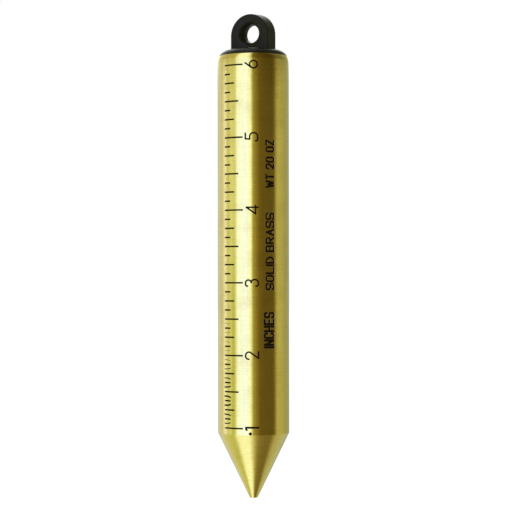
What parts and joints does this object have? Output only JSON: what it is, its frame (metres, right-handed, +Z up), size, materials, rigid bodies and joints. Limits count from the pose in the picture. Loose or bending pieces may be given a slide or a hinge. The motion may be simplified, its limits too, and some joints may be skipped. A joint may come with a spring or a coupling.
{
  "type": "plumb bob",
  "caption": "Cylindrical brass gauging plumb bob with a conical point, an inch scale read up from the tip, and a black moulded eye screwed into its top.",
  "frame": {"origin": "centre of the flat end of the point, which is the zero of the scale", "axes": "+Z up the axis to the eye; -Y is the front, along the axis of the eye's hole"},
  "size_m": [0.0252, 0.0252, 0.1718],
  "materials": {
    "brass": "satin, fine turned",
    "moulded_eye": "semi-gloss black",
    "black_paint": "matt black enamel in the engraving"
  },
  "bodies": {
    "root": {"brass_body": "brass", "eye_plug": "moulded_eye", "inch_lines_paint": "black_paint", "half_inch_lines_paint": "black_paint", "quarter_inch_lines_paint": "black_paint", "eighth_inch_lines_paint": "black_paint", "sixteenth_inch_lines_paint": "black_paint", "numeral_1_paint": "black_paint", "numeral_2_paint": "black_paint", "numeral_3_paint": "black_paint", "numeral_4_paint": "black_paint", "numeral_5_paint": "black_paint", "numeral_6_paint": "black_paint", "legend_inches_paint": "black_paint", "legend_solid_brass_paint": "black_paint", "legend_weight_paint": "black_paint", "datum_dot_paint": "black_paint"}
  },
  "joints": []
}
